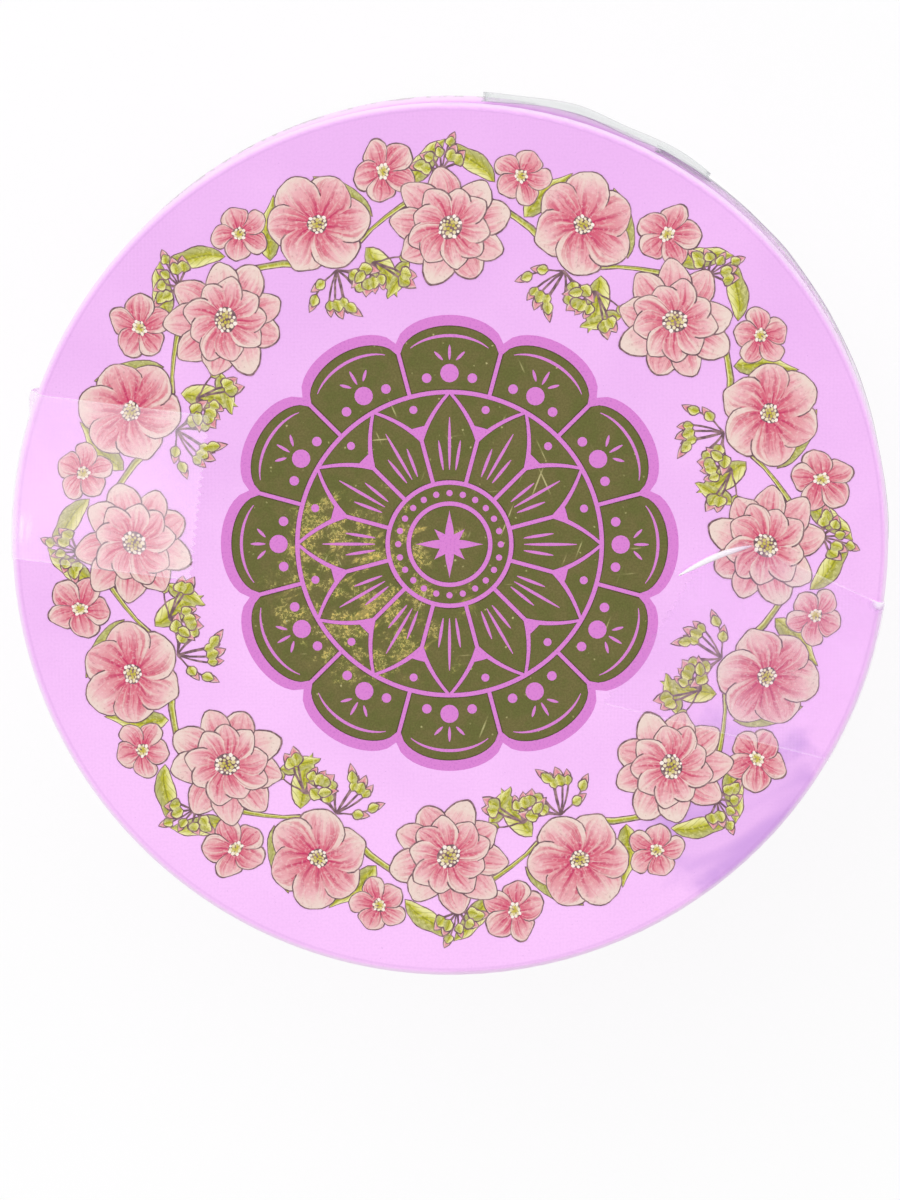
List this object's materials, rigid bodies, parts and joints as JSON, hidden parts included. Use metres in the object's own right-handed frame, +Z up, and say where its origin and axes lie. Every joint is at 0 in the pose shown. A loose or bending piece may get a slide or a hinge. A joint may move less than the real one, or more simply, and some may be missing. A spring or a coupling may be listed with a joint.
{
  "type": "round powder tin",
  "caption": "Round tinplate powder tin with a printed slip lid, a perforated sifter over the powder, a ribboned puff and strips of clear tape across the lid's edge.",
  "frame": {"origin": "on the table, under the middle of the closed tin's base", "axes": "+Z up through the middle of the lid, +Y towards the side seam at the back, +X towards the taped right side"},
  "size_m": [0.1025, 0.1024, 0.0521],
  "materials": {
    "printed_tin": "satin",
    "bare_tinplate": "satin",
    "gold_foil": "gloss",
    "print_ink": "satin",
    "sifter_plastic": "satin",
    "talc": "matte",
    "puff_velour": "matte",
    "wadding": "matte",
    "satin": "satin",
    "clear_tape": "gloss"
  },
  "bodies": {
    "tin": {"body_wall": "printed_tin", "base_end": "bare_tinplate", "sifter": "sifter_plastic", "powder_fill": "talc", "tape_left_tail": "clear_tape", "tape_right_tail": "clear_tape"},
    "lid": {"lid_shell": "printed_tin", "tape_left": "clear_tape", "tape_right": "clear_tape", "tape_band": "clear_tape"},
    "puff": {"puff_pile": "puff_velour", "puff_wadding": "wadding", "puff_back": "satin", "puff_ribbon": "satin"}
  },
  "joints": [
    {"name": "lid_lift", "type": "slide", "parent": "tin", "child": "lid", "axis": [0, 0, 1], "range_m": [0, 0.12]},
    {"name": "puff_lift", "type": "slide", "parent": "tin", "child": "puff", "axis": [0, 0, 1], "range_m": [0, 0.06]}
  ],
  "couplings": [
    {"joint": "puff_lift", "follows": "lid_lift", "ratio": 0.5}
  ]
}
